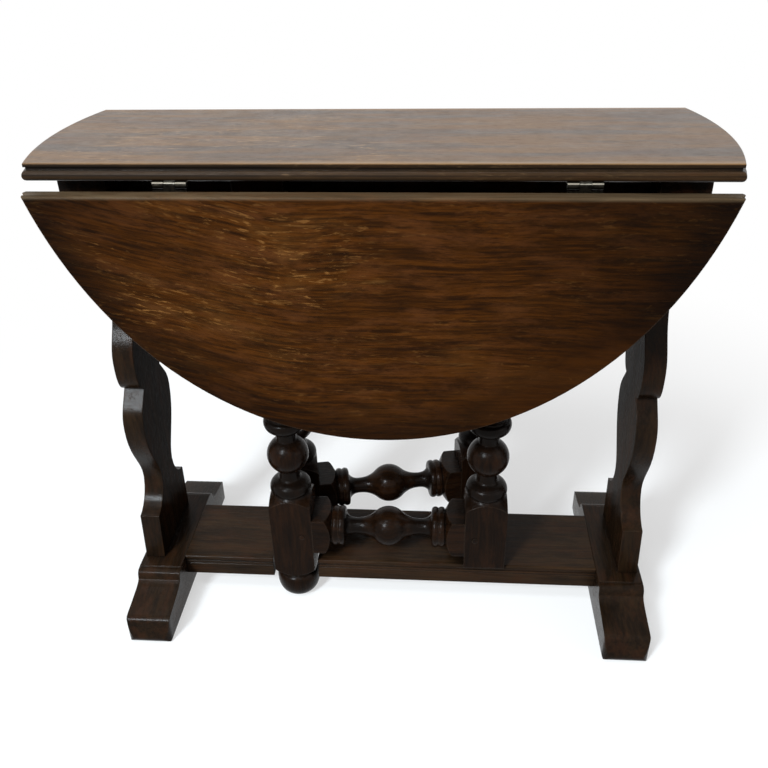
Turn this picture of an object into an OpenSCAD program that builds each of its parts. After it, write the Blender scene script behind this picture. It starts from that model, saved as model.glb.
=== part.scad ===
// Small oak gateleg table: a fixed centre board, two drop leaves, trestle ends on
// toed feet, a shelf stretcher, and two turned gates that swing out under the leaves.
// Millimetres, +Z up, floor at z = 0, origin under the middle of the table.
// The table looks the same when it is turned half round, so the rear pieces are
// the front ones turned through 180 degrees about Z.

/* [Boards of the top] */
// length of the oval top
top_length = 644; // [600:2:700]
// depth of the oval top with both leaves raised
open_depth = 708; // [660:2:740]
// depth of the fixed centre board
centre_depth = 208.8; // [196:0.2:230]
// thickness of the three boards
board_t = 15.5; // [15:0.5:20]
// height of the top surface above the floor
table_height = 556; // [550:1:570]
// gap between the centre board and a raised leaf
leaf_gap = 0.5; // [0.3:0.1:1]

/* [Moulded edge of the boards] */
// height of the upper lip
lip_h = 4; // [3:0.5:5]
// how far the lip stands inside the bead
lip_step = 2.4; // [1:0.2:3]
// height of the groove under the lip
groove_h = 2.6; // [1.5:0.1:3]
// depth of the groove behind the lip
groove_depth = 1.8; // [1:0.1:2.5]
// how far the bead curls in at its top and bottom
bead_curl = 3; // [1.6:0.2:3.6]
// how far the arrises are eased
edge_ease = 1; // [0.4:0.1:1.4]
// rounding of the arris along the hinged edge of a leaf
leaf_round = 2.4; // [1:0.2:3]

/* [Leaf hinges] */
// distance of the hinge axis below the boards
hinge_drop = 4; // [3.6:0.1:6]
// distance of the hinge axis inside the edge of the centre board
hinge_inset = 3.8; // [3.5:0.1:5]
// distance of each hinge from the middle of the table
hinge_x = 178; // [150:1:200]
// width of a hinge along its pin
hinge_w = 30; // [24:1:36]
// length of each hinge plate from the pin
hinge_plate_l = 38; // [30:1:44]
// thickness of the hinge plates
hinge_plate_t = 2.2; // [1.8:0.1:2.4]
// outer radius of the knuckles
knuckle_r = 3; // [2.6:0.1:3.2]
// radius of the hinge pin
hinge_pin_r = 1.3; // [1:0.1:1.5]
// end play between knuckles
knuckle_play = 0.3; // [0.2:0.1:0.5]

/* [Feet] */
// length of a foot, front to back
foot_length = 276; // [240:2:290]
// width of a foot
foot_w = 51; // [46:1:56]
// height of a foot, level with the shelf
foot_h = 58; // [54:1:62]
// height of the toe
toe_h = 34.5; // [32:0.5:36]
// length of the flat on top of a foot
foot_flat = 138; // [126:1:150]
// how far the toe swells forward near the floor
toe_nose = 4.5; // [2:0.5:6]
// rounding of the corners of the toes
toe_round = 9; // [5:0.5:11]
// rounding of the lower arrises of a foot
sole_round = 5; // [3:0.5:7]
// rounding of the upper arrises of a foot
foot_ease = 1; // [0.5:0.1:1.5]
// depth of the quirk where the flat ends
foot_quirk = 1.6; // [1:0.2:2.4]
// distance between the outer faces of the feet
frame_length = 598; // [590:2:610]

/* [Trestle ends] */
// distance of the planks inside the outer faces of the feet, at their base
end_inset = 4; // [2:0.5:8]
// how far the planks lean inwards, in degrees
end_lean = 1.2; // [0:0.1:1.5]
// thickness of a trestle plank
trestle_t = 22.5; // [20:0.5:25]
// width of the plank where it stands on the foot
trestle_base_w = 106; // [90:2:116]
// width of the plank at the arris above its base
trestle_arris_w = 100; // [86:1:108]
// height of the arris above the foot
trestle_arris_z = 61; // [50:1:64]
// width of the waist
waist_w = 41; // [32:1:50]
// height of the waist above the foot
waist_z = 97; // [88:1:102]
// width of the lower lobe
lobe_w = 98; // [84:1:106]
// height of the widest part of the lower lobe above the foot
lobe_z = 184; // [174:1:190]
// width at the cusp between the lobes
cusp_w = 56; // [46:1:64]
// height of the cusp above the foot
cusp_z = 227; // [222:1:234]
// width of the upper lobe
upper_lobe_w = 90; // [80:1:98]
// height of the widest part of the upper lobe above the foot
upper_lobe_z = 265; // [257:1:273]
// width of the neck above the lobes
neck_w = 44; // [40:1:56]
// distance of the neck below the bearer
neck_drop = 110.5; // [104:0.5:116]
// width of the plank under its bearer
head_w = 116; // [100:2:128]
// distance below the bearer where the plank is at its full head width
head_drop = 24.5; // [18:0.5:30]

/* [Bearers and top rails] */
// length of a bearer, front to back
bearer_length = 146; // [134:2:156]
// height of the bearers and the top rails
rail_h = 38; // [34:1:42]
// thickness of a top rail
rail_t = 26; // [24:1:30]
// distance of the bearers inside the outer faces of the feet
bearer_inset = 7; // [4:0.5:9]
// rounding of the lower corners of a bearer
bearer_round = 9; // [5:1:14]

/* [Shelf] */
// depth of the shelf, front to back
shelf_depth = 100; // [96:1:108]
// thickness of the shelf
shelf_t = 27; // [24:1:30]
// height of the rounded nosing at the top of its edges
nosing_h = 4.4; // [3:0.2:6]
// height of the groove under the nosing
shelf_groove_h = 3; // [2:0.2:4]
// height of the bead under the groove
shelf_bead_h = 3.4; // [2.6:0.2:4.6]
// depth of the groove
shelf_groove_depth = 1.6; // [0.8:0.1:2]

/* [Gates] */
// how far the front gate stands swung out, in degrees
front_swing = 1; // [0:0.5:11]
// how far the rear gate stands swung out, in degrees
rear_swing = 11; // [0:0.5:11]
// side of the square stock of the legs and turned rails
stock = 48; // [44:1:50]
// distance of the gate pivot from the middle of the table
pivot_x = 115; // [105:1:125]
// distance between the pivot and the middle of the gate leg
gate_span = 227; // [210:1:235]
// distance of the gate centre line from the middle of the table
gate_y = 30.4; // [30:0.2:32]
// height of the lower rail above the floor, at its centre
low_rail_z = 100.5; // [96:0.5:106]
// distance of the upper rail below the top rails, at its centre
high_rail_drop = 36.5; // [30:0.5:45]
// height of the plain upper rail
high_rail_h = 42; // [34:1:50]
// thickness of the plain upper rail
high_rail_t = 22; // [18:1:28]
// radius of the pivot pins
pivot_r = 9; // [7:0.5:11]
// length of the pivot pins
pivot_l = 16; // [12:1:18]
// clearance at each side of a gate leg in its notches
notch_side = 3.6; // [3:0.2:6]
// clearance behind a gate leg in its notch in the shelf
notch_back = 3; // [2:0.2:5]

/* [Turnings] */
// height of the bottom of the gate leg above the floor
leg_lift = 1.5; // [1:0.1:3]
// radius of the bun foot
bun_r = 26; // [24:0.5:26.5]
// height of the bun foot
bun_h = 33; // [28:1:36]
// height above the floor where the lower block of a leg begins
block_bottom = 36; // [35:0.5:40]
// height above the floor where the lower blocks end
block_top = 155; // [152:0.5:158]
// length of the upper blocks below the top rails
upper_block_l = 98; // [94:0.5:102]
// length of a turned shoulder along its axis
shoulder_l = 16.5; // [13:0.5:18]
// radius of the rings
ring_r = 24; // [22:0.2:24]
// length of a ring along its axis, down to its neck
ring_t = 22; // [18:0.5:24]
// radius of the balls
ball_r = 23.8; // [20:0.2:24]
// radius of the necks
neck_r = 12; // [10:0.5:14]
// length of the plain neck between a ring and the ball
neck_l = 8.1; // [6:0.3:10.2]
// length of the half reel between the rings and the middle of a turning
reel_l = 24.4; // [20:0.4:28]
// depth of the crease between a ring and its block
crease = 2.6; // [1.6:0.2:3.4]
// radius of the slim necks of the turned rails
rail_neck_r = 9.5; // [8:0.5:11]
// length of the twin rings of the turned rails
twin_ring_t = 14.6; // [12:0.2:17]

/* [Joinery] */
// thickness of the tenons
tenon_t = 10; // [8:1:12]
// length of the tenons of the gate rails
tenon_l = 24; // [20:1:28]
// clearance all round a tenon
tenon_play = 0.1; // [0.05:0.05:0.2]
// radius of the pegs
peg_r = 3.5; // [3:0.25:4.5]
// how far the pegs stand proud
peg_proud = 0.4; // [0:0.1:0.8]
// radial clearance of turning pins
pin_play = 0.05; // [0.02:0.01:0.08]
// clearance under and over a gate post, and above a gate leg
end_play = 0.3; // [0.2:0.05:0.4]

/* [Screws] */
// radius of the shanks of the hinge screws
hinge_screw_r = 1.6; // [1.2:0.1:2]
// length of the hinge screws in the wood
hinge_screw_l = 9; // [7:0.5:11]
// radius of the shanks of the screws that hold the top
top_screw_r = 2.2; // [1.8:0.1:2.6]
// radius of the heads of the screws that hold the top
top_screw_head_r = 4.5; // [4:0.1:5.5]
// length of the screws that hold the top in the wood of the top
top_screw_bite = 10; // [8:0.5:12]
// depth of the pockets for their heads
top_screw_pocket = 14; // [10:1:18]

/* [Hidden] */
$fn = 64;

oak = [0.25, 0.15, 0.10];
dark_oak = [0.13, 0.09, 0.07];
ball_oak = [0.20, 0.10, 0.07];
peg_oak = [0.17, 0.11, 0.08];
brass = [0.55, 0.45, 0.28];
steel = [0.45, 0.43, 0.40];

half_length = top_length / 2;
half_depth = open_depth / 2;
half_centre = centre_depth / 2;
board_z = table_height - board_t;
hinge_y = half_centre - hinge_inset;
hinge_z = board_z - hinge_drop;
rail_z = board_z - rail_h;
frame_x = frame_length / 2;
foot_inner_x = frame_x - foot_w;
bearer_x = frame_x - bearer_inset;
leg_x = pivot_x - gate_span;
shelf_z = foot_h - shelf_t;
shelf_tenon_l = 14;
shelf_tenon_w = 60;
rail_tenon_l = 12;
trestle_tenon_w = 56;
trestle_tenon_l = 22;
neck_z = rail_z - neck_drop;
head_z = rail_z - head_drop;
high_rail_z = rail_z - high_rail_drop;
upper_block_bottom = rail_z - upper_block_l;
post_top = rail_z - end_play;
post_bottom = foot_h + end_play;
leg_top = board_z - end_play;
high_tenon_h = high_rail_h - 12;
low_tenon_h = stock - 16;
rail_span = gate_span - stock;
steps = 6;
leaf_steps = 60;
end_steps = 18;

// points on an arc about c, from angle a0 to a1
function arc(c, r, a0, a1, n = steps) =
    [for (i = [0:n]) let (a = a0 + (a1 - a0) * i / n) c + r * [cos(a), sin(a)]];

// points on a cubic curve from a to d, drawn towards b and c
function curve(a, b, c, d, n = steps) =
    [for (i = [0:n]) let (t = i / n, s = 1 - t)
        s*s*s * a + 3*s*s*t * b + 3*s*t*t * c + t*t*t * d];

// a list of points in the opposite order
function backwards(p) = [for (i = [len(p) - 1:-1:0]) p[i]];

// the same points reflected across the line x = 0 or across y = level
function flip_x(p) = backwards([for (q = p) [-q[0], q[1]]]);
function flip_y(p, level) = backwards([for (q = p) [q[0], 2 * level - q[1]]]);

// the moulded edge, as [inset, distance below the show face]: lip, groove and bead
bead_top = lip_h + groove_h;
bead_end = 75;
groove_inset = lip_step + groove_depth;
edge_profile = concat(
    [[lip_step + edge_ease, 0], [lip_step + edge_ease * 0.3, edge_ease * 0.3],
        [lip_step, edge_ease], [lip_step, lip_h - 0.4], [groove_inset, lip_h],
        [groove_inset, bead_top]],
    [for (a = [-bead_end:25:bead_end]) [bead_curl * (1 - cos(a)) / (1 - cos(bead_end)),
        (bead_top + board_t) / 2 + (board_t - bead_top) / 2 * sin(a) / sin(bead_end)]]);

// inset of the hinged edge of a leaf, z below its show face: plain, with a rounded arris
function hinge_edge(z) = z < leaf_round ?
    leaf_round - sqrt(leaf_round * leaf_round - (leaf_round - z) * (leaf_round - z)) :
    z < board_t - 0.1 ? 0 : 0.5;

// outline of a leaf lying open at the rear, drawn in by d, and by h at its hinged edge
function leaf_outline(d, h) =
    let (a = half_length - d, b = half_depth - d,
        start = asin((half_centre + leaf_gap + h) / b))
    [for (i = [0:leaf_steps]) let (t = start + (180 - 2 * start) * i / leaf_steps)
        [a * cos(t), b * sin(t)]];

// outline of the centre board, drawn in by d
function centre_outline(d) =
    let (a = half_length - d, b = half_depth - d, end = asin((half_centre - d) / b))
    concat([for (i = [0:end_steps]) let (t = -end + 2 * end * i / end_steps)
            [a * cos(t), b * sin(t)]],
        [for (i = [0:end_steps]) let (t = 180 - end + 2 * end * i / end_steps)
            [a * cos(t), b * sin(t)]]);

// a board whose edge follows edge_profile all round, its show face at top_z
module moulded_board(rings, top_z) {
    n = len(rings[0]);
    m = len(rings);
    points = [for (k = [0:m - 1]) for (p = rings[k]) [p[0], p[1], top_z - edge_profile[k][1]]];
    sides = [for (k = [0:m - 2]) for (i = [0:n - 1])
        [k * n + i, k * n + (i + 1) % n, (k + 1) * n + (i + 1) % n, (k + 1) * n + i]];
    triangles = [for (f = sides) each [[f[0], f[1], f[2]], [f[0], f[2], f[3]]]];
    top_face = [for (i = [n - 1:-1:0]) i];
    bottom_face = [for (i = [0:n - 1]) (m - 1) * n + i];
    polyhedron(points, concat([top_face, bottom_face], triangles), convexity = 4);
}

// move pieces from the front to the rear, or swing an open leaf down to hang
module rear() {
    rotate([0, 0, 180]) children();
}
module hanging() {
    translate([0, hinge_y, hinge_z]) rotate([-90, 0, 0]) translate([0, -hinge_y, -hinge_z])
        children();
}

// turn the front gate outwards about its pivot
module swung(angle) {
    translate([pivot_x, -gate_y, 0]) rotate([0, 0, angle]) translate([-pivot_x, gate_y, 0])
        children();
}

// where the screws of one hinge plate stand, as [x, distance from the pin]
hinge_screw_places = [[-hinge_w / 2 + 6, 12], [hinge_w / 2 - 6, 12], [0, hinge_plate_l - 8]];

// the screws of one hinge plate, or their holes; side is 1 outside the pin, -1 inside
module hinge_screw_set(side, play) {
    for (p = hinge_screw_places)
        translate([p[0], hinge_y + side * p[1], board_z - hinge_plate_t]) {
            cylinder(h = hinge_plate_t + hinge_screw_l + play, r = hinge_screw_r + play);
            cylinder(h = hinge_plate_t * 0.7, r1 = 2 * hinge_screw_r + play,
                r2 = hinge_screw_r + play);
        }
}

// all hinge screws of one leaf's plates, with the leaf lying open at the rear
module hinge_screws_open(side, play = 0) {
    for (x = [-hinge_x, hinge_x]) translate([x, 0, 0]) hinge_screw_set(side, play);
}

module leaf_open() {
    difference() {
        moulded_board([for (e = edge_profile) leaf_outline(e[0], hinge_edge(e[1]))],
            table_height);
        hinge_screws_open(1, 0.05);
    }
}

module centre_board() {
    difference() {
        moulded_board([for (e = edge_profile) centre_outline(e[0])], table_height);
        hinge_screws_open(-1, 0.05);
        rear() hinge_screws_open(-1, 0.05);
        top_screw_set(0.05);
    }
}

// one knuckle between x0 and x1 and the web that joins it to its plate, with the bore
// for the pin left to the caller; the web of a leaf's knuckle clears the centre board
module knuckle(x0, x1, side) {
    web_top = side > 0 ? board_z - knuckle_play : board_z;
    translate([x0, hinge_y, hinge_z]) rotate([0, 90, 0]) cylinder(h = x1 - x0, r = knuckle_r);
    translate([x0, side > 0 ? hinge_y : hinge_y - knuckle_r - 2, hinge_z + knuckle_r * 0.6])
        cube([x1 - x0, side > 0 ? knuckle_r * 0.8 : knuckle_r * 1.8 + 2,
            web_top - hinge_z - knuckle_r * 0.6]);
}

module pin_bore() {
    translate([-hinge_w, hinge_y, hinge_z]) rotate([0, 90, 0])
        cylinder(h = 2 * hinge_w, r = hinge_pin_r + pin_play);
}

// a hinge plate and its knuckles, drawn for a leaf lying open at the rear
module hinge_plate_open(side) {
    third = hinge_w / 3;
    spans = side > 0 ? [[-third / 2, third / 2]]
        : [[-hinge_w / 2, -third / 2 - knuckle_play], [third / 2 + knuckle_play, hinge_w / 2]];
    difference() {
        union() {
            translate([-hinge_w / 2, hinge_y + (side > 0 ? knuckle_r + knuckle_play : -hinge_plate_l),
                    board_z - hinge_plate_t])
                cube([hinge_w, hinge_plate_l - knuckle_r - knuckle_play, hinge_plate_t]);
            for (s = spans) {
                knuckle(s[0], s[1], side);
                if (side > 0) translate([s[0], hinge_y, board_z - hinge_plate_t])
                    cube([s[1] - s[0], knuckle_r + 2, hinge_plate_t - knuckle_play]);
            }
        }
        pin_bore();
        hinge_screw_set(side, 0.05);
        if (side < 0) translate([-third / 2 - knuckle_play, hinge_y - knuckle_r - knuckle_play, 0])
            cube([third + 2 * knuckle_play, 4 * knuckle_r, table_height]);
    }
}

module hinge_pin() {
    translate([-hinge_w / 2, hinge_y, hinge_z]) rotate([0, 90, 0])
        cylinder(h = hinge_w, r = hinge_pin_r);
}

// outline of half a foot, in (y, z)
foot_half = foot_length / 2;
toe_y = foot_half - toe_nose;
foot_side = concat(
    [[foot_flat / 2, foot_h]],
    curve([foot_flat / 2, foot_h - foot_quirk], [foot_flat / 2 + 4, foot_h - foot_quirk + 0.8],
        [foot_flat / 2 + 9.5, foot_h - 2], [foot_flat / 2 + 10, foot_h - 9]),
    curve([foot_flat / 2 + 11, foot_h - 12], [foot_flat / 2 + 15, toe_h + 6],
        [toe_y - 35.5, toe_h + 5.5], [toe_y - 21.5, toe_h + 2.6]),
    curve([toe_y - 9, toe_h + 0.8], [toe_y - 3.5, toe_h - 0.2], [toe_y, toe_h - 3],
        [toe_y, toe_h - 9]),
    arc([foot_half - toe_round, toe_round], toe_round, 20, -90));

// a rectangle from the origin, its lower corners rounded by r0 and its upper ones by r1
function rounded(w, l, r0, r1) = concat(arc([w - r0, r0], r0, -90, 0),
    arc([w - r1, l - r1], r1, 0, 90), arc([r1, l - r1], r1, 90, 180), arc([r0, r0], r0, 180, 270));

module foot() {
    difference() {
        intersection() {
            translate([foot_inner_x, 0, 0]) rotate([90, 0, 90])
                linear_extrude(foot_w) polygon(concat(foot_side, flip_x(foot_side)));
            linear_extrude(foot_h) translate([foot_inner_x, -foot_half])
                polygon(rounded(foot_w, foot_length, toe_round, toe_round));
            translate([foot_inner_x, foot_half, 0]) rotate([90, 0, 0])
                linear_extrude(foot_length) polygon(rounded(foot_w, foot_h, sole_round, foot_ease));
        }
        trestle_tenon(foot_h, -1, tenon_play);
        translate([foot_inner_x - 1, -shelf_tenon_w / 2 - tenon_play,
                shelf_z + shelf_t / 2 - tenon_t / 2 - tenon_play])
            cube([shelf_tenon_l + 1 + tenon_play, shelf_tenon_w + 2 * tenon_play,
                tenon_t + 2 * tenon_play]);
    }
}

// half outline of a trestle plank, in (y, z), from its foot up
upper_lobe_h = neck_z - foot_h - upper_lobe_z;
trestle_side = concat(
    [[trestle_base_w / 2, foot_h - 2]],
    curve([trestle_arris_w / 2, foot_h + trestle_arris_z],
        [(trestle_arris_w + waist_w) / 4 + 2, foot_h + trestle_arris_z + 2],
        [waist_w / 2 + 2, (2 * foot_h + trestle_arris_z + waist_z) / 2 - 4],
        [waist_w / 2, foot_h + waist_z]),
    curve([waist_w / 2, foot_h + waist_z + 2], [waist_w / 2, foot_h + waist_z + 26],
        [lobe_w / 2, foot_h + lobe_z - 40], [lobe_w / 2, foot_h + lobe_z], 9),
    curve([lobe_w / 2, foot_h + lobe_z + 2], [lobe_w / 2, foot_h + lobe_z + 20],
        [cusp_w / 2 + 13, foot_h + cusp_z - 18], [cusp_w / 2, foot_h + cusp_z], 8),
    curve([cusp_w / 2 + 0.6, foot_h + cusp_z + 0.6], [cusp_w / 2 + 11, foot_h + cusp_z + 3],
        [upper_lobe_w / 2, foot_h + cusp_z + 15], [upper_lobe_w / 2, foot_h + upper_lobe_z], 7),
    curve([upper_lobe_w / 2, foot_h + upper_lobe_z + 2],
        [upper_lobe_w / 2, foot_h + upper_lobe_z + 0.38 * upper_lobe_h],
        [neck_w / 2 + 2, neck_z - 0.52 * upper_lobe_h], [neck_w / 2, neck_z], 9),
    curve([neck_w / 2, neck_z + 2], [neck_w / 2, neck_z + 38],
        [head_w / 2, head_z - 46], [head_w / 2, head_z], 9),
    [[head_w / 2, rail_z + 2]]);

// where the outer face of a plank is at height z
function plank_x(z) = frame_x - end_inset - (z - foot_h) * tan(end_lean);

// the stub tenon of a trestle plank, going up (1) or down (-1) from z, or its mortise
module trestle_tenon(z, way, play = 0) {
    translate([plank_x(z) - trestle_t / 2 - tenon_t / 2 - play, -trestle_tenon_w / 2 - play,
            way > 0 ? z - 1 : z - trestle_tenon_l - play])
        cube([tenon_t + 2 * play, trestle_tenon_w + 2 * play, trestle_tenon_l + 1 + play]);
}

// the plank leans, and is cut level where it meets the foot and the bearer
module trestle() {
    intersection() {
        translate([plank_x(foot_h), 0, foot_h]) rotate([0, -end_lean, 0])
            translate([-trestle_t, 0, -foot_h]) rotate([90, 0, 90])
                linear_extrude(trestle_t) polygon(concat(trestle_side, flip_x(trestle_side)));
        translate([foot_inner_x, -foot_length / 2, foot_h])
            cube([foot_w, foot_length, rail_z - foot_h]);
    }
    trestle_tenon(foot_h, -1);
    trestle_tenon(rail_z, 1);
}

// half outline of a bearer, in (y, z)
bearer_side = concat(
    [[bearer_length / 2, board_z]],
    arc([bearer_length / 2 - bearer_round, rail_z + bearer_round], bearer_round, 0, -90, 5));

// the screws that hold the top, or their holes
module top_screw_set(play = 0) {
    for (x = [-1, 1]) for (y = [-1, 1])
        translate([x * (foot_inner_x + 12), y * bearer_length * 0.36, rail_z + top_screw_pocket]) {
            cylinder(h = rail_h - top_screw_pocket + top_screw_bite + play, r = top_screw_r + play);
            translate([0, 0, -3]) cylinder(h = 3, r1 = top_screw_head_r, r2 = top_screw_head_r);
        }
}

module bearer() {
    difference() {
        translate([foot_inner_x, 0, 0]) rotate([90, 0, 90])
            linear_extrude(bearer_x - foot_inner_x)
                polygon(concat(bearer_side, flip_x(bearer_side)));
        trestle_tenon(rail_z, 1, tenon_play);
        for (y = [-gate_y, gate_y]) translate([foot_inner_x - 1, y, 0]) rail_tenon(tenon_play);
        top_screw_set(0.05);
        for (y = [-1, 1])
            translate([foot_inner_x + 12, y * bearer_length * 0.36, rail_z - 1])
                cylinder(h = top_screw_pocket + 1, r = top_screw_head_r + 1);
    }
}

// the stub tenon of a top rail, or its mortise, starting 1 mm inside the rail's end
module rail_tenon(play = 0) {
    translate([0, -tenon_t / 2 - play, rail_z + 6 - play])
        cube([rail_tenon_l + 1 + play, tenon_t + 2 * play, rail_h - 12 + 2 * play]);
}

// the rail over the front gate, halved for the top of the gate leg
module top_rail() {
    difference() {
        union() {
            translate([-foot_inner_x, -gate_y - rail_t / 2, rail_z])
                cube([2 * foot_inner_x, rail_t, rail_h]);
            for (m = [0, 1]) mirror([m, 0, 0])
                translate([foot_inner_x - 1, -gate_y, 0]) rail_tenon();
        }
        translate([leg_x - stock / 2 - notch_side, -gate_y - rail_t, rail_z - 1])
            cube([stock + 2 * notch_side, rail_t, rail_h + 2]);
        translate([pivot_x, -gate_y, rail_z - 1])
            cylinder(h = pivot_l + 1 + end_play, r = pivot_r + pin_play);
    }
}

// outline of the shelf, in (y, z), with a nosing, a groove and a bead along each edge
shelf_edge = shelf_depth / 2;
shelf_bead_z = foot_h - nosing_h - shelf_groove_h - shelf_bead_h / 2;
shelf_side = concat(
    curve([shelf_edge - 3, foot_h], [shelf_edge - 1.2, foot_h], [shelf_edge, foot_h - 1],
        [shelf_edge, foot_h - nosing_h * 0.7], 4),
    [[shelf_edge, foot_h - nosing_h], [shelf_edge - shelf_groove_depth, foot_h - nosing_h - 0.5],
        [shelf_edge - shelf_groove_depth, shelf_bead_z + shelf_bead_h / 2]],
    [for (a = [50:-50:-50]) [shelf_edge - 1 + cos(a) * 0.9, shelf_bead_z + shelf_bead_h * sin(a) / 1.8]],
    [[shelf_edge - shelf_groove_depth * 0.6, shelf_bead_z - shelf_bead_h / 2 - 0.2],
        [shelf_edge, shelf_bead_z - shelf_bead_h / 2 - 0.8], [shelf_edge, shelf_z]]);

module shelf_half_cuts() {
    translate([leg_x - stock / 2 - notch_side, -shelf_depth, 0])
        cube([stock + 2 * notch_side, shelf_depth - gate_y + stock / 2 + notch_back, foot_h + 1]);
    translate([pivot_x, -gate_y, foot_h - pivot_l - end_play])
        cylinder(h = pivot_l + end_play + 1, r = pivot_r + pin_play);
}

module shelf_board() {
    difference() {
        union() {
            translate([-foot_inner_x, 0, 0]) rotate([90, 0, 90])
                linear_extrude(2 * foot_inner_x) polygon(concat(shelf_side, flip_x(shelf_side)));
            for (m = [0, 1]) mirror([m, 0, 0])
                translate([foot_inner_x - 1, -shelf_tenon_w / 2,
                        shelf_z + shelf_t / 2 - tenon_t / 2])
                    cube([shelf_tenon_l + 1, shelf_tenon_w, tenon_t]);
        }
        shelf_half_cuts();
        rear() shelf_half_cuts();
    }
}

// a ring that stands on a block and runs up into its neck, as [radius, height]
ring = concat(
    curve([ring_r - crease, 0], [ring_r + 0.6, ring_t * 0.06],
        [ring_r + 0.8, ring_t * 0.38], [ring_r - 2.2, ring_t * 0.56], 9),
    curve([ring_r - 3, ring_t * 0.6], [ring_r - 7, ring_t * 0.8],
        [neck_r, ring_t * 0.72], [neck_r, ring_t], 6));

// half of a turning between two blocks, as [radius, height], from the block to the
// middle: ring, neck, ball, neck, ring and half a reel
ball_angle = acos(neck_r / ball_r);
ball_z = ring_t + neck_l + ball_r * sin(ball_angle);
half_turning_l = 2 * ball_z + reel_l;
half_turning = concat(ring, arc([0, ball_z], ball_r, -ball_angle - 1, ball_angle + 1, 20),
    flip_y(ring, ball_z),
    [[ring_r - crease - 3, 2 * ball_z + 0.2], [ring_r - crease - 3, 2 * ball_z + 2.4]],
    curve([ring_r - crease - 4.4, 2 * ball_z + 2.6], [neck_r, 2 * ball_z + 3.6],
        [neck_r - 1, half_turning_l - 8], [neck_r, half_turning_l - 3], 4),
    [[neck_r + 3, half_turning_l - 2.4]]);

// the shape turned on the square stock: past its corners along a block, and down to
// the half side of the stock at a shoulder; from low to high, shoulders s0 and s1 long
corner_r = stock / sqrt(2) + 1;
function block_side(z0, z1, s0, s1) = concat(
    s0 > 0 ? curve([ring_r - crease - 0.6, z0], [ring_r + 1, z0 + s0 * 0.35],
        [corner_r - 2, z0 + s0 * 0.5], [corner_r, z0 + s0], 6) : [[corner_r, z0]],
    s1 > 0 ? curve([corner_r, z1 - s1], [corner_r - 2, z1 - s1 * 0.5],
        [ring_r + 1, z1 - s1 * 0.35], [ring_r - crease - 0.6, z1], 6) : [[corner_r, z1]]);

bun_profile = concat(
    [[0, leg_lift], [bun_r * 0.52, leg_lift]],
    curve([bun_r * 0.6, leg_lift + 0.5], [bun_r * 0.9, leg_lift + bun_h * 0.1],
        [bun_r, leg_lift + bun_h * 0.38], [bun_r, leg_lift + bun_h * 0.64], 8),
    curve([bun_r, leg_lift + bun_h * 0.7], [bun_r, leg_lift + bun_h * 0.86],
        [bun_r - 2, leg_lift + bun_h * 0.96], [bun_r - 5, leg_lift + bun_h], 5));

// the turning drawn out or pressed together to fill the height between its blocks
mid_turning = (block_top + upper_block_bottom) / 2;
lower_turning = [for (q = half_turning)
    [q[0], block_top + q[1] * (mid_turning - block_top) / half_turning_l]];
turned_middle = concat(lower_turning, flip_y(lower_turning, mid_turning));

// square stock turned to a profile, left round where it is below the square's start
module turned(profile, z0, z1, round_foot = false) {
    intersection() {
        rotate_extrude() polygon(profile);
        union() {
            translate([-stock / 2, -stock / 2, z0]) cube([stock, stock, z1 - z0]);
            if (round_foot) translate([-stock, -stock, 0]) cube([2 * stock, 2 * stock, z0]);
        }
    }
}

// a mortise for a gate rail, cut in a block towards +X (1) or -X (-1)
module gate_mortise(way, z, h) {
    translate([way > 0 ? stock / 2 - tenon_l - tenon_play : -stock / 2 - 1,
            -tenon_t / 2 - tenon_play, z - h / 2 - tenon_play])
        cube([tenon_l + 1 + tenon_play, tenon_t + 2 * tenon_play, h + 2 * tenon_play]);
}

// where the pegs go through the joints of a gate, as [x, z]
peg_places = [for (x = [leg_x + stock / 2 - tenon_l / 2, pivot_x - stock / 2 + tenon_l / 2])
    each [[x, low_rail_z], [x, high_rail_z + high_tenon_h / 4], [x, high_rail_z - high_tenon_h / 4]]];

// the pegs of the front gate, or their holes; play widens the holes
module peg_set(play = 0) {
    for (p = peg_places)
        translate([p[0], -gate_y - stock / 2 - peg_proud - play, p[1]])
            rotate([-90, 0, 0]) cylinder(h = stock * 0.8 + peg_proud + 2 * play, r = peg_r + play);
}

module gate_leg() {
    difference() {
        translate([leg_x, -gate_y, 0]) difference() {
            turned(concat(bun_profile, block_side(block_bottom, block_top, shoulder_l, shoulder_l),
                    turned_middle,
                    block_side(upper_block_bottom, leg_top, shoulder_l, 0), [[0, leg_top]]),
                block_bottom, leg_top, round_foot = true);
            gate_mortise(1, low_rail_z, low_tenon_h);
            gate_mortise(1, high_rail_z, high_tenon_h);
            translate([-stock, -end_play, rail_z - end_play]) cube([2 * stock, stock, rail_h + 1]);
        }
        peg_set(0.02);
    }
}

module gate_post() {
    difference() {
        translate([pivot_x, -gate_y, 0]) {
            difference() {
                turned(concat([[0, post_bottom]],
                        block_side(post_bottom, block_top, 0, shoulder_l), turned_middle,
                        block_side(upper_block_bottom, post_top, shoulder_l, 0), [[0, post_top]]),
                    post_bottom, post_top);
                gate_mortise(-1, low_rail_z, low_tenon_h);
                gate_mortise(-1, high_rail_z, high_tenon_h);
            }
            translate([0, 0, post_bottom - pivot_l]) cylinder(h = pivot_l + 1, r = pivot_r);
            translate([0, 0, post_top - 1]) cylinder(h = pivot_l + 1, r = pivot_r);
        }
        peg_set(0.02);
    }
}

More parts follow.
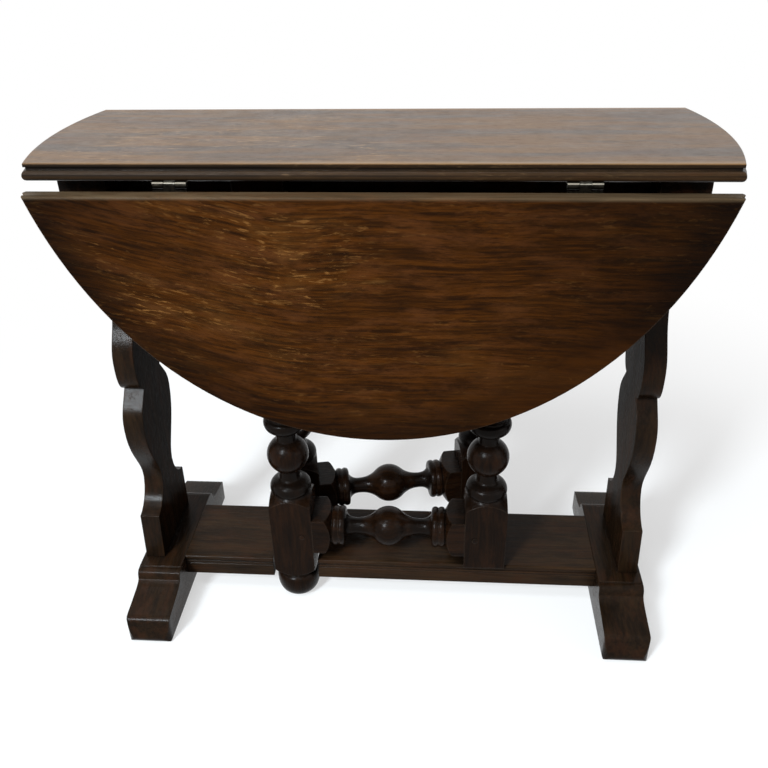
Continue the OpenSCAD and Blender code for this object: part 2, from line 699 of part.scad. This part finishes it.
// half of the turned rail, as [radius, distance from its middle to its block]
rail_block_l = 23;
rail_shoulder_l = 11;
rail_twin_end = rail_span / 2 - rail_block_l;
rail_twin_start = rail_twin_end - twin_ring_t;
rail_neck_at = (ball_r + rail_twin_start) / 2;
rail_cove_l = rail_twin_start - rail_neck_at;
flare_start = 42;
twin_r = twin_ring_t / 4 / sin(45);
rail_half = concat(
    arc([0, 0], ball_r, 0, flare_start - 2, 8),
    curve(ball_r * [cos(flare_start), sin(flare_start)],
        ball_r * [cos(flare_start) * 0.81, sin(flare_start) * 1.23],
        [rail_neck_r, ball_r + 2], [rail_neck_r, rail_neck_at], 7),
    curve([rail_neck_r, rail_neck_at + 1], [rail_neck_r, rail_neck_at + rail_cove_l * 0.5],
        [rail_neck_r + 2, rail_twin_start - rail_cove_l * 0.3],
        [rail_neck_r + 5.4, rail_twin_start - 1.6], 5),
    curve([rail_neck_r + 6.4, rail_twin_start - 1.2], [ring_r - 6, rail_twin_start - 1.2],
        [ring_r - 2.4, rail_twin_start - 0.8], [ring_r - 1.6, rail_twin_start], 3),
    [for (k = [1, 3]) each arc([ring_r - twin_r, rail_twin_start + k * twin_ring_t / 4],
        twin_r, -44, 44, 5)],
    [[ring_r - crease, rail_twin_end]],
    block_side(rail_twin_end, rail_span / 2, rail_shoulder_l, 0));

// the turned rail between the leg and the post, with its tenons
module gate_low_rail() {
    difference() {
        translate([leg_x + gate_span / 2, -gate_y, low_rail_z]) rotate([0, 90, 0]) {
            turned(concat([[0, -rail_span / 2]], flip_y(rail_half, 0), rail_half,
                    [[0, rail_span / 2]]), -rail_span / 2, rail_span / 2);
            for (m = [0, 1]) mirror([0, 0, m])
                translate([-low_tenon_h / 2, -tenon_t / 2, rail_span / 2 - 1])
                    cube([low_tenon_h, tenon_t, tenon_l + 1]);
        }
        peg_set(0.02);
    }
}

module gate_high_rail() {
    difference() {
        translate([leg_x + gate_span / 2, -gate_y, high_rail_z]) {
            cube([rail_span, high_rail_t, high_rail_h], center = true);
            cube([rail_span + 2 * tenon_l, tenon_t, high_tenon_h], center = true);
        }
        peg_set(0.02);
    }
}

// the two ends and the sides of the table
module at_left() {
    mirror([1, 0, 0]) children();
}
module at_x(x) {
    translate([x, 0, 0]) children();
}

// one module per sub-part
module top_plank() color(oak) centre_board();
module rear_leaf() color(oak) hanging() leaf_open();
module front_leaf() color(oak) rear() hanging() leaf_open();
module right_foot() color(dark_oak) foot();
module left_foot() color(dark_oak) at_left() foot();
module right_trestle() color(dark_oak) trestle();
module left_trestle() color(dark_oak) at_left() trestle();
module right_bearer() color(dark_oak) bearer();
module left_bearer() color(dark_oak) at_left() bearer();
module front_top_rail() color(dark_oak) top_rail();
module rear_top_rail() color(dark_oak) rear() top_rail();
module shelf() color(dark_oak) shelf_board();
module top_screws() color(steel) top_screw_set();
module rear_left_hinge_plate() color(brass) at_x(-hinge_x) hinge_plate_open(-1);
module rear_right_hinge_plate() color(brass) at_x(hinge_x) hinge_plate_open(-1);
module front_left_hinge_plate() color(brass) rear() at_x(hinge_x) hinge_plate_open(-1);
module front_right_hinge_plate() color(brass) rear() at_x(-hinge_x) hinge_plate_open(-1);
module rear_left_leaf_plate() color(brass) hanging() at_x(-hinge_x) hinge_plate_open(1);
module rear_right_leaf_plate() color(brass) hanging() at_x(hinge_x) hinge_plate_open(1);
module front_left_leaf_plate() color(brass) rear() hanging() at_x(hinge_x) hinge_plate_open(1);
module front_right_leaf_plate() color(brass) rear() hanging() at_x(-hinge_x) hinge_plate_open(1);
module rear_left_hinge_pin() color(steel) at_x(-hinge_x) hinge_pin();
module rear_right_hinge_pin() color(steel) at_x(hinge_x) hinge_pin();
module front_left_hinge_pin() color(steel) rear() at_x(hinge_x) hinge_pin();
module front_right_hinge_pin() color(steel) rear() at_x(-hinge_x) hinge_pin();
module rear_hinge_screws() color(steel) hinge_screws_open(-1);
module front_hinge_screws() color(steel) rear() hinge_screws_open(-1);
module rear_leaf_screws() color(steel) hanging() hinge_screws_open(1);
module front_leaf_screws() color(steel) rear() hanging() hinge_screws_open(1);
module front_gate_leg() color(ball_oak) swung(front_swing) gate_leg();
module front_gate_post() color(ball_oak) swung(front_swing) gate_post();
module front_gate_low_rail() color(ball_oak) swung(front_swing) gate_low_rail();
module front_gate_high_rail() color(dark_oak) swung(front_swing) gate_high_rail();
module front_gate_pegs() color(peg_oak) swung(front_swing) peg_set();
module rear_gate_leg() color(ball_oak) rear() swung(rear_swing) gate_leg();
module rear_gate_post() color(ball_oak) rear() swung(rear_swing) gate_post();
module rear_gate_low_rail() color(ball_oak) rear() swung(rear_swing) gate_low_rail();
module rear_gate_high_rail() color(dark_oak) rear() swung(rear_swing) gate_high_rail();
module rear_gate_pegs() color(peg_oak) rear() swung(rear_swing) peg_set();

top_plank();
front_leaf();
rear_leaf();
left_foot();
right_foot();
left_trestle();
right_trestle();
left_bearer();
right_bearer();
front_top_rail();
rear_top_rail();
shelf();
top_screws();
front_left_hinge_plate();
front_left_leaf_plate();
front_left_hinge_pin();
front_right_hinge_plate();
front_right_leaf_plate();
front_right_hinge_pin();
rear_left_hinge_plate();
rear_left_leaf_plate();
rear_left_hinge_pin();
rear_right_hinge_plate();
rear_right_leaf_plate();
rear_right_hinge_pin();
front_hinge_screws();
front_leaf_screws();
rear_hinge_screws();
rear_leaf_screws();
front_gate_leg();
front_gate_post();
front_gate_low_rail();
front_gate_high_rail();
front_gate_pegs();
rear_gate_leg();
rear_gate_post();
rear_gate_low_rail();
rear_gate_high_rail();
rear_gate_pegs();
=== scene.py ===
"""Looks of the small oak gateleg table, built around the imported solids, in metres.

Every board and turning is old dark oak. One function makes its material, with the grain along
the length of each piece, and each kind of piece passes its own tones, gloss and wear.
"""
import math

import bpy
from mathutils import Matrix, Vector

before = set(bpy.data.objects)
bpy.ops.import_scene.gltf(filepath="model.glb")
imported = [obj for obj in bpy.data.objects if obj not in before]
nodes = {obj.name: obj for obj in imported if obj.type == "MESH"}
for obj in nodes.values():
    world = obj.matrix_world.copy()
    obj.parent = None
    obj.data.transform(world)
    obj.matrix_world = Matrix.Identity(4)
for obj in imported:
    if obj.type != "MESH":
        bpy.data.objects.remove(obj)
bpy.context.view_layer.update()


def put(tree, kind, inputs=None, **props):
    """A node with its properties and inputs set. An input is a value or another node's socket."""
    node = tree.nodes.new(kind)
    for key, value in props.items():
        setattr(node, key, value)
    for key, value in (inputs or {}).items():
        if isinstance(value, bpy.types.NodeSocket):
            tree.links.new(value, node.inputs[key])
        else:
            node.inputs[key].default_value = value
    return node


def calc(tree, operation, a, b=0.0):
    return put(tree, "ShaderNodeMath", {0: a, 1: b}, operation=operation).outputs[0]


def times(tree, first, *others):
    for other in others:
        first = calc(tree, "MULTIPLY", first, other)
    return first


def vector_calc(tree, operation, a, b):
    return put(tree, "ShaderNodeVectorMath", {0: a, 1: b}, operation=operation).outputs[0]


def split(tree, vector):
    """The X, Y and Z of a vector."""
    return put(tree, "ShaderNodeSeparateXYZ", {0: vector}).outputs


def spread(tree, value, start, end, at_start=0.0, at_end=1.0):
    """Eased from at_start to at_end while value goes from start to end."""
    return put(tree, "ShaderNodeMapRange", {0: value, 1: start, 2: end, 3: at_start, 4: at_end},
               interpolation_type="SMOOTHSTEP").outputs[0]


def mixed(tree, factor, a, b, mode="MIX"):
    return put(tree, "ShaderNodeMix", {0: factor, 6: a, 7: b},
               data_type="RGBA", blend_type=mode).outputs[2]


def tinted(tree, amount, colour, tint):
    return mixed(tree, amount, colour, (*tint, 1.0))


def scaled(colours, share):
    return tuple(tuple(channel * share for channel in colour) for colour in colours)


def ramp(tree, value, *stops):
    node = put(tree, "ShaderNodeValToRGB", {0: value})
    points = node.color_ramp.elements
    while len(points) < len(stops):
        points.new(0.5)
    for point, (place, colour) in zip(points, stops):
        point.position = place
        point.color = (*colour, 1.0)
    return node.outputs[0]


def noise(tree, vector, scale=1.0, detail=3.0, roughness=0.55, distortion=0.0):
    return put(tree, "ShaderNodeTexNoise",
               {"Vector": vector, "Scale": scale, "Detail": detail, "Roughness": roughness,
                "Distortion": distortion})


def new_material(name):
    material = bpy.data.materials.new(name)
    material.use_nodes = True
    tree = material.node_tree
    tree.nodes.clear()
    return material, tree


def finish_material(tree, shader):
    output = put(tree, "ShaderNodeOutputMaterial")
    tree.links.new(shader.outputs[0], output.inputs[0])


# textures of the wood: how finely they repeat in a metre along the grain and across it, their
# detail, roughness and distortion
FINE_LINES = (20.0, 360.0, 4.0, 0.62)
PORES = (80.0, 1500.0, 2.0, 0.5)
CLOUDS = (10.0, 26.0, 5.0, 0.65)
RED_PATCHES = (16.0, 60.0, 5.0, 0.7)
SHORT_FLECKS = (80.0, 400.0, 3.0, 0.6, 0.4)
LONG_FLECKS = (20.0, 230.0, 4.0, 0.65, 0.5)
FLECK_GROUPS = (7.0, 22.0, 3.0)
GRAIN_DRIFT = 0.016
# the near-black brown of painted shade in corners and creases
CREASE_SHADE = (0.003, 0.0024, 0.0020)
RELIEF_DEPTH = 0.0006

TOP_HEIGHT = 0.556
# the oval of the open top, brought down to where a leaf hangs: its middle and reach in x and z
LEAF_MIDDLE = (0.0, 0.0, 0.636)
LEAF_REACH = (0.322, 0.354)


def grained(tree, place, axis, length_scale, cross_scale, detail, roughness=0.55, distortion=0.0):
    """Noise stretched along the grain."""
    stretch = tuple(length_scale if axis == way else cross_scale for way in "xyz")
    vector = vector_calc(tree, "MULTIPLY", place, stretch)
    return noise(tree, vector, 1.0, detail, roughness, distortion).outputs[0]


def oval(tree, place, centre, reach):
    """How far from centre a place is, in x and z, as a share of reach."""
    away = vector_calc(tree, "SUBTRACT", place, centre)
    away = vector_calc(tree, "MULTIPLY", away, (1 / reach[0], 0.0, 1 / reach[1]))
    return put(tree, "ShaderNodeVectorMath", {0: away}, operation="LENGTH").outputs["Value"]


def grain_place(tree, still, seed, sag):
    """Where to read the grain, shifted for each piece, sagging to the left, and made wavy."""
    place = vector_calc(tree, "ADD", still, (seed * 0.37, seed * 0.61, seed * 0.23))
    if sag:
        fall = spread(tree, split(tree, still)["X"], -0.34, -0.05, -sag, 0.0)
        fall = put(tree, "ShaderNodeCombineXYZ", {"Z": fall}).outputs[0]
        place = vector_calc(tree, "ADD", place, fall)
    drift = noise(tree, place, 7.0, 2.0).outputs["Color"]
    drift = vector_calc(tree, "SUBTRACT", drift, (0.5, 0.5, 0.5))
    drift = vector_calc(tree, "MULTIPLY", drift, (GRAIN_DRIFT,) * 3)
    return place, vector_calc(tree, "ADD", place, drift)


def fleck_mask(tree, still, wavy, axis, clouds, centre, reach):
    """Where bright ray flecks lie: short and long ones in groups, with a faint sheen around."""
    groups = spread(tree, grained(tree, wavy, axis, *FLECK_GROUPS), 0.42, 0.62, 0.08, 1.0)
    short = spread(tree, grained(tree, wavy, axis, *SHORT_FLECKS), 0.55, 0.72)
    long = spread(tree, grained(tree, wavy, axis, *LONG_FLECKS), 0.56, 0.74)
    sheen = spread(tree, clouds, 0.48, 0.66)
    mask = calc(tree, "MAXIMUM", times(tree, short, groups), times(tree, long, groups, 0.9))
    mask = calc(tree, "MAXIMUM", mask, times(tree, sheen, groups, 0.2))
    return times(tree, mask, spread(tree, oval(tree, still, centre, reach), 0.3, 1.0, 1.0, 0.3))


def leaf_shade(tree, spot, still, clouds, centre, reach, faded, glow):
    """How bright a leaf is, fading towards its rim, and how much of the rim glows."""
    bright = spread(tree, oval(tree, still, centre, reach), 0.3, 1.0, 1.0, faded)
    rim = calc(tree, "ADD", oval(tree, still, LEAF_MIDDLE, LEAF_REACH), times(tree, clouds, 0.16))
    bright = times(tree, bright, spread(tree, rim, 0.94, 1.07, 1.0, 0.4))
    if not glow:
        return bright, None
    from_x, below_z = glow
    lit = times(tree, spread(tree, spot["X"], from_x, from_x + 0.1),
                spread(tree, spot["Z"], below_z, below_z - 0.08),
                spread(tree, rim, 0.90, 1.02, 0.0, 0.55))
    return calc(tree, "MAXIMUM", bright, lit), times(tree, lit, 0.9)


def banded(tree, colour, spot, streaks, bands):
    """Colour with dirty, dusty or rubbed bands, each between two distances along one axis."""
    for way, start, end, tint, strength in bands:
        soft = (end - start) * 0.18
        far = calc(tree, "ABSOLUTE", spot[way])
        amount = times(tree, spread(tree, far, start - soft, start + soft),
                       spread(tree, far, end - soft, end + soft, 1.0, 0.0),
                       spread(tree, streaks, 0.35, 0.6, 0.5, 1.0), strength)
        colour = tinted(tree, amount, colour, tint)
    return colour


def oak(name, axis, seed, tones, worn, wear, gloss, gloss_spread, warm, warmth, edge_r, ray=None,
        rays=0.0, sag=0.0, centre=None, reach=None, faded=None, glow=None, cloudy=0.25,
        coarse=0.5, contrast=0.16, streak=75.0, creased=0.012, bands=(), fleck_centre=None,
        fleck_reach=None, rim_y=None, ior=1.16, flat=None):
    """Dark polished oak. tones are its dark, middle and light browns along the grain. worn is the
    paler wood of edges rubbed by wear, within edge_r of an edge. warm and warmth colour and
    strengthen the redder patches, and ray and rays the bright ray flecks. sag is how far the grain
    falls towards the left end. centre and reach give the oval at whose rim the board darkens to
    faded, and fleck_centre and fleck_reach the part with the most flecks. glow is where that rim
    is orange instead: from x up, below z. cloudy and coarse share out the grain between clouds,
    streaks and fine lines, and streak is how finely the streaks repeat across the grain. creased
    is how far from a corner shade is painted. Each of the bands is a stretch along one axis, with
    its colour and strength. rim_y is how far to the front and back the rubbed arrises of a top
    lie. A low ior keeps dark wood dark, because its polish reflects the white background on every
    side. flat is an axis whose two flat faces have an ior of their own."""
    material, tree = new_material(name)
    dark, middle, light = tones
    still = put(tree, "ShaderNodeTexCoord").outputs["Object"]
    spot = split(tree, still)
    place, wavy = grain_place(tree, still, seed, sag)

    streaks = grained(tree, wavy, axis, 5.0, streak, 5.0, 0.6)
    fine = grained(tree, wavy, axis, *FINE_LINES)
    clouds = grained(tree, wavy, axis, *CLOUDS)
    pores = spread(tree, grained(tree, wavy, axis, *PORES), 0.56, 0.68)
    blotch = noise(tree, place, 38.0, 4.0, 0.65).outputs[0]

    grain = calc(tree, "ADD", times(tree, streaks, (1.0 - cloudy) * coarse),
                 times(tree, fine, (1.0 - cloudy) * (1.0 - coarse)))
    grain = calc(tree, "ADD", grain, times(tree, clouds, cloudy))
    colour = ramp(tree, spread(tree, grain, 0.5 - contrast, 0.5 + contrast),
                  (0.0, dark), (0.5, middle), (1.0, light))
    red = spread(tree, grained(tree, wavy, axis, *RED_PATCHES), 0.45, 0.66)
    colour = tinted(tree, times(tree, red, warmth), colour, warm)
    colour = tinted(tree, times(tree, pores, 0.45), colour, (channel * 0.4 for channel in dark))

    if rays:
        flecks = fleck_mask(tree, still, wavy, axis, clouds, fleck_centre, fleck_reach)
        if centre:
            bright, orange = leaf_shade(tree, spot, still, clouds, centre, reach, faded, glow)
            if glow:
                colour = tinted(tree, orange, colour, light)
            grey = put(tree, "ShaderNodeCombineColor", {0: bright, 1: bright, 2: bright})
            colour = mixed(tree, 1.0, colour, grey.outputs[0], "MULTIPLY")
            flecks = times(tree, flecks, spread(tree, bright, 0.3, 0.8, 0.35, 1.0))
        colour = tinted(tree, times(tree, flecks, rays), colour, ray)

    # edges are where the rounded normal leaves the true one
    bevel = put(tree, "ShaderNodeBevel", {"Radius": edge_r}, samples=6).outputs[0]
    true = put(tree, "ShaderNodeNewGeometry").outputs["Normal"]
    facing = put(tree, "ShaderNodeVectorMath", {0: bevel, 1: true}, operation="DOT_PRODUCT")
    rubbed = times(tree, spread(tree, facing.outputs["Value"], 0.995, 0.86),
                   spread(tree, blotch, 0.35, 0.62, 0.25, 1.0), wear)
    colour = tinted(tree, rubbed, colour, worn)
    colour = banded(tree, colour, spot, streaks, bands)
    if rim_y:
        rubbed = times(tree, spread(tree, calc(tree, "ABSOLUTE", spot["Y"]), rim_y - 0.011, rim_y),
                       spread(tree, spot["Z"], TOP_HEIGHT - 0.0010, TOP_HEIGHT - 0.0004),
                       spread(tree, spot["X"], -0.17, -0.03, 0.3, 1.0), 0.75)
        colour = tinted(tree, rubbed, colour, worn)
    # painted shade: the colour darkens near corners and creases, as far as creased reaches
    corner = put(tree, "ShaderNodeAmbientOcclusion", {"Distance": creased}, samples=4)
    colour = tinted(tree, spread(tree, corner.outputs["AO"], 0.3, 0.85, 0.85, 0.0), colour, CREASE_SHADE)

    patchy = calc(tree, "ADD", times(tree, blotch, 0.3), times(tree, grain, 0.7))
    rough = calc(tree, "ADD", spread(tree, patchy, 0.38, 0.62, gloss, gloss + gloss_spread),
                 times(tree, pores, 0.12))
    height = calc(tree, "SUBTRACT", times(tree, fine, 0.35), times(tree, pores, 0.6))
    height = calc(tree, "ADD", height, times(tree, blotch, 0.5))
    relief = put(tree, "ShaderNodeBump", {"Strength": 0.25, "Distance": RELIEF_DEPTH,
                                          "Height": height, "Normal": bevel})
    if flat:
        way, flat_ior = flat
        facing = split(tree, put(tree, "ShaderNodeTexCoord").outputs["Normal"])[way]
        ior = spread(tree, calc(tree, "ABSOLUTE", facing), 0.75, 0.97, ior, flat_ior)
    shader = put(tree, "ShaderNodeBsdfPrincipled",
                 {"Base Color": colour, "Roughness": rough, "IOR": ior,
                  "Normal": relief.outputs[0]})
    finish_material(tree, shader)
    return material


def metal(name, base, stain, rough, seed, rubbed=None, bright=None):
    """Old metal, stained and scratched. rubbed is the stretch of height that is made bright: rubbed
    wear, and a painted highlight.
    """
    material, tree = new_material(name)
    still = put(tree, "ShaderNodeTexCoord").outputs["Object"]
    place = vector_calc(tree, "ADD", still, (seed, seed, seed))
    blotch = noise(tree, place, 160.0, 4.0, 0.65).outputs[0]
    colour = mixed(tree, spread(tree, blotch, 0.42, 0.62), (*base, 1.0), (*stain, 1.0))
    # a bright band along this height: rubbed wear, and a painted highlight
    if rubbed:
        start, end = rubbed
        soft = 0.0004
        height = split(tree, still)["Z"]
        amount = times(tree, spread(tree, height, start, start + soft),
                       spread(tree, height, end, end + soft, 1.0, 0.0))
        colour = tinted(tree, amount, colour, bright)
    stretch = vector_calc(tree, "MULTIPLY", place, (120.0, 2200.0, 2200.0))
    scratches = noise(tree, stretch, 1.0, 2.0).outputs[0]
    relief = put(tree, "ShaderNodeBump", {"Strength": 0.2, "Distance": 0.0002,
                                          "Height": scratches})
    shader = put(tree, "ShaderNodeBsdfPrincipled",
                 {"Base Color": colour, "Metallic": 1.0, "Normal": relief.outputs[0],
                  "Roughness": spread(tree, blotch, 0.35, 0.65, rough, rough + 0.3)})
    finish_material(tree, shader)
    return material


# dark, middle and light browns of each kind of wood
LEAF_TONES = ((0.019, 0.0064, 0.0016), (0.045, 0.0140, 0.0022), (0.084, 0.0256, 0.0038))
# the top's browns are the oak's own with painted reflection of the light the top shows at a low
# angle, so paler and greyer than the leaves'
TOP_TONES_AND_REFLECTION = ((0.046, 0.0220, 0.0075), (0.105, 0.0530, 0.0200), (0.190, 0.1000, 0.0400))
DARK_TONES = ((0.0068, 0.0038, 0.0020), (0.0150, 0.0080, 0.0039), (0.027, 0.0140, 0.0064))
TURNED_TONES = ((0.0047, 0.0022, 0.0011), (0.0108, 0.0046, 0.0020), (0.022, 0.0090, 0.0036))
RUST = (0.105, 0.035, 0.0098)
GOLD = (0.24, 0.105, 0.028)
STRAW = (0.46, 0.27, 0.12)
OCHRE = (0.30, 0.17, 0.075)
TAN = (0.085, 0.055, 0.034)
# near black, for painted shade in the grooves of the top's moulded edge
GROOVE_SHADE = (0.0035, 0.0026, 0.0022)
MOULDING = (0.024, 0.014, 0.0075)
# near black, for the rings and necks of the turnings
RING_DARK = (0.0045, 0.0034, 0.0028)
# pale tan of dust with painted light, for a face turned up
DUST_AND_LIGHT = (0.118, 0.082, 0.046)
BRICK = (0.048, 0.018, 0.0075)

leaf_look = dict(axis="x", tones=LEAF_TONES, warm=RUST, warmth=0.6, worn=OCHRE, wear=0.6,
                 edge_r=0.0016, gloss=0.30, gloss_spread=0.10, cloudy=0.12, coarse=0.4,
                 contrast=0.12, streak=150.0, ior=1.12, ray=GOLD,
                 # the hinged edge, facing up, is paler: dust, and painted light on a face turned up
                 bands=(("Z", 0.5300, 0.5400, DUST_AND_LIGHT, 0.75),))
dark_look = dict(tones=DARK_TONES, warm=BRICK, warmth=0.45, worn=TAN, wear=0.3, edge_r=0.0018,
                 gloss=0.17, gloss_spread=0.10, creased=0.02)
# pieces in the shade under the top have their browns cut to 0.4: painted shade
shade_painted_look = dict(dark_look, tones=scaled(DARK_TONES, 0.4))
turned_look = dict(tones=TURNED_TONES, warm=BRICK, warmth=0.25, worn=TAN, wear=0.35,
                   edge_r=0.0018, gloss=0.18, gloss_spread=0.07, creased=0.026)

looks = {
    "top_plank": dict(leaf_look, tones=TOP_TONES_AND_REFLECTION, warmth=0.3, wear=0.9, gloss_spread=0.14,
                      cloudy=0.05, coarse=0.8, contrast=0.09, streak=60.0, ior=1.16,
                      flat=("Z", 1.5), ray=STRAW, rays=0.8, fleck_centre=(-0.12, 0.0, TOP_HEIGHT),
                      fleck_reach=(0.26, 0.10), rim_y=0.1020,
                      # the moulded edge is a darker brown; on it the GROOVE_SHADE bands are painted
                      # shade: the hollow under the lip, a line across the bead and the foot of the
                      # edge
                      bands=(("Z", 0.5380, 0.5549, MOULDING, 0.95),
                             ("Z", 0.5497, 0.5549, GROOVE_SHADE, 0.9),
                             ("Z", 0.5451, 0.5466, GROOVE_SHADE, 0.6),
                             ("Z", 0.5400, 0.5427, GROOVE_SHADE, 0.6))),
    "front_leaf": dict(leaf_look, rays=0.95, sag=0.05, centre=(-0.04, -0.12, 0.45),
                       reach=(0.32, 0.27), faded=0.27, glow=(0.04, 0.45),
                       fleck_centre=(-0.14, -0.12, 0.45), fleck_reach=(0.23, 0.11)),
    "rear_leaf": dict(leaf_look, rays=0.8, centre=(0.0, 0.12, 0.42), reach=(0.30, 0.26),
                      faded=0.4, fleck_centre=(0.05, 0.12, 0.44), fleck_reach=(0.30, 0.14)),
    "left_foot": dict(dark_look, axis="y"),
    "right_foot": dict(dark_look, axis="y"),
    "left_trestle": dict(dark_look, axis="z", flat=("X", 1.03)),
    "right_trestle": dict(dark_look, axis="z", flat=("X", 1.03)),
    "left_bearer": dict(shade_painted_look, axis="y"),
    "right_bearer": dict(shade_painted_look, axis="y"),
    "front_top_rail": dict(shade_painted_look, axis="x"),
    "rear_top_rail": dict(shade_painted_look, axis="x"),
    "shelf": dict(dark_look, axis="x", edge_r=0.0012, tones=scaled(DARK_TONES, 1.8)),
}
for side in ("front", "rear"):
    # the rings and necks are made near black
    stand_look = dict(turned_look, axis="z", bands=(("Z", 0.154, 0.187, RING_DARK, 0.8),
                                                    ("Z", 0.223, 0.262, RING_DARK, 0.8)))
    looks[f"{side}_gate_leg"] = looks[f"{side}_gate_post"] = stand_look
    looks[f"{side}_gate_low_rail"] = dict(turned_look, axis="x",
                                          bands=(("X", 0.029, 0.053, RING_DARK, 0.8),))
    looks[f"{side}_gate_high_rail"] = dict(shade_painted_look, axis="x")
    looks[f"{side}_gate_pegs"] = dict(turned_look, axis="y")

for seed, (name, look) in enumerate(looks.items()):
    nodes[name].data.materials.clear()
    nodes[name].data.materials.append(oak(f"oak {name}", seed=seed + 1.0, **look))

# near-black brass: tarnish, and painted shade of the gap the hinges sit in; the band along the top
# of the knuckles is rubbed wear and painted highlight
brass = metal("old brass", (0.014, 0.012, 0.009), (0.006, 0.005, 0.004), 0.42, 3.0,
              (0.5383, 0.5396), (0.50, 0.46, 0.38))
steel = metal("old steel", (0.26, 0.25, 0.24), (0.06, 0.052, 0.045), 0.36, 5.0)
for name, piece in nodes.items():
    if name not in looks:
        piece.data.materials.clear()
        piece.data.materials.append(brass if "plate" in name else steel)


def shade_round(piece, degrees):
    """Shades facets that meet at less than so many degrees as one round face. The shape stays."""
    group = bpy.data.node_groups.new("shade round", "GeometryNodeTree")
    for in_out in ("INPUT", "OUTPUT"):
        group.interface.new_socket("Geometry", in_out=in_out, socket_type="NodeSocketGeometry")
    mesh = group.nodes.new("NodeGroupInput").outputs[0]
    mesh = put(group, "GeometryNodeRemoveAttribute",
               {"Geometry": mesh, "Name": "custom_normal"}).outputs[0]
    mesh = put(group, "GeometryNodeMergeByDistance",
               {"Geometry": mesh, "Distance": 1e-6}).outputs[0]
    turn = put(group, "GeometryNodeInputMeshEdgeAngle").outputs["Unsigned Angle"]
    gentle = calc(group, "LESS_THAN", turn, math.radians(degrees))
    for domain, smooth in (("FACE", True), ("EDGE", gentle)):
        mesh = put(group, "GeometryNodeSetShadeSmooth",
                   {"Geometry": mesh, "Shade Smooth": smooth}, domain=domain).outputs[0]
    group.links.new(mesh, group.nodes.new("NodeGroupOutput").inputs[0])
    piece.modifiers.new("shade round", "NODES").node_group = group


for side in ("left", "right"):
    shade_round(nodes[f"{side}_trestle"], 25.0)
    shade_round(nodes[f"{side}_foot"], 19.0)


def seen_rays(tree):
    """Rays that show the background: those of the camera, of reflections and through glass."""
    paths = put(tree, "ShaderNodeLightPath").outputs
    return calc(tree, "MAXIMUM", paths["Is Camera Ray"],
                calc(tree, "MAXIMUM", paths["Is Glossy Ray"], paths["Is Transmission Ray"]))


def floor_material():
    """A white floor that takes a soft shadow near the table, and lights it only dimly."""
    material, tree = new_material("floor")
    place = put(tree, "ShaderNodeTexCoord").outputs["Object"]
    far = put(tree, "ShaderNodeVectorMath", {0: place}, operation="LENGTH").outputs["Value"]
    plain = put(tree, "ShaderNodeEmission", {"Color": (1.0, 1.0, 1.0, 1.0), "Strength": 1.0})
    shaded = put(tree, "ShaderNodeBsdfDiffuse",
                 {"Color": (0.95, 0.95, 0.945, 1.0), "Roughness": 1.0})
    seen = put(tree, "ShaderNodeMixShader", {0: spread(tree, far, 0.3, 1.1, 0.55, 1.0),
                                             1: shaded.outputs[0], 2: plain.outputs[0]})
    dim = put(tree, "ShaderNodeBsdfDiffuse",
              {"Color": (0.19, 0.145, 0.095, 1.0), "Roughness": 1.0})
    shader = put(tree, "ShaderNodeMixShader",
                 {0: seen_rays(tree), 1: dim.outputs[0], 2: seen.outputs[0]})
    finish_material(tree, shader)
    return material


bpy.ops.mesh.primitive_circle_add(vertices=96, radius=14.0, fill_type="NGON",
                                  location=(0, 0, -0.0002))
floor = bpy.context.object
floor.name = "floor"
floor.data.materials.append(floor_material())

# a white background, and a soft fill light that isn't seen
world = bpy.data.worlds.new("studio")
bpy.context.scene.world = world
world.use_nodes = True
sky = world.node_tree
sky.nodes.clear()
white = put(sky, "ShaderNodeBackground", {0: (1.0, 1.0, 1.0, 1.0), 1: 1.0})
fill = put(sky, "ShaderNodeBackground", {0: (0.97, 0.98, 1.0, 1.0), 1: 0.28})
both = put(sky, "ShaderNodeMixShader", {0: seen_rays(sky), 1: fill.outputs[0], 2: white.outputs[0]})
world_output = put(sky, "ShaderNodeOutputWorld")
sky.links.new(both.outputs[0], world_output.inputs[0])

LAMP_AIM = Vector((0.0, 0.0, 0.3))


def area_light(name, place, size, power, colour):
    data = bpy.data.lights.new(name, "AREA")
    data.shape = "RECTANGLE"
    data.size, data.size_y = size
    data.energy = power
    data.color = colour
    lamp = bpy.data.objects.new(name, data)
    lamp.location = place
    lamp.rotation_euler = (LAMP_AIM - Vector(place)).to_track_quat("-Z", "Y").to_euler()
    bpy.context.scene.collection.objects.link(lamp)


area_light("window", (-1.00, -1.85, 1.75), (0.4, 0.6), 62.0, (0.86, 0.94, 1.0))
area_light("high window", (-0.6, -1.15, 2.6), (0.6, 0.5), 16.0, (0.88, 0.95, 1.0))
area_light("ceiling", (-0.4, 0.3, 2.9), (0.7, 2.2), 10.0, (0.97, 0.98, 1.0))
area_light("soft side", (2.4, -1.2, 1.4), (1.4, 1.6), 7.0, (1.0, 0.97, 0.93))

# the camera of the photograph, from the fit to its edges
CAMERA_PLACE = Vector((0.0599, -0.7891, 0.7520))
YAW, PITCH, ROLL = (math.radians(angle) for angle in (4.565, 30.868, -1.252))
LENS = 38.6
ahead = Vector((-math.sin(YAW) * math.cos(PITCH), math.cos(YAW) * math.cos(PITCH),
                -math.sin(PITCH)))
level = Vector((math.cos(YAW), math.sin(YAW), 0.0))
upright = level.cross(ahead)
right = math.cos(ROLL) * level + math.sin(ROLL) * upright
up = -math.sin(ROLL) * level + math.cos(ROLL) * upright
camera_data = bpy.data.cameras.new("camera")
camera_data.sensor_width = 36.0
camera_data.lens = LENS
camera_data.clip_start = 0.02
camera = bpy.data.objects.new("camera", camera_data)
camera.matrix_world = Matrix((
    (right.x, up.x, -ahead.x, CAMERA_PLACE.x),
    (right.y, up.y, -ahead.y, CAMERA_PLACE.y),
    (right.z, up.z, -ahead.z, CAMERA_PLACE.z),
    (0.0, 0.0, 0.0, 1.0)))
bpy.context.scene.collection.objects.link(camera)
bpy.context.scene.camera = camera
bpy.context.scene.view_settings.view_transform = "Standard"
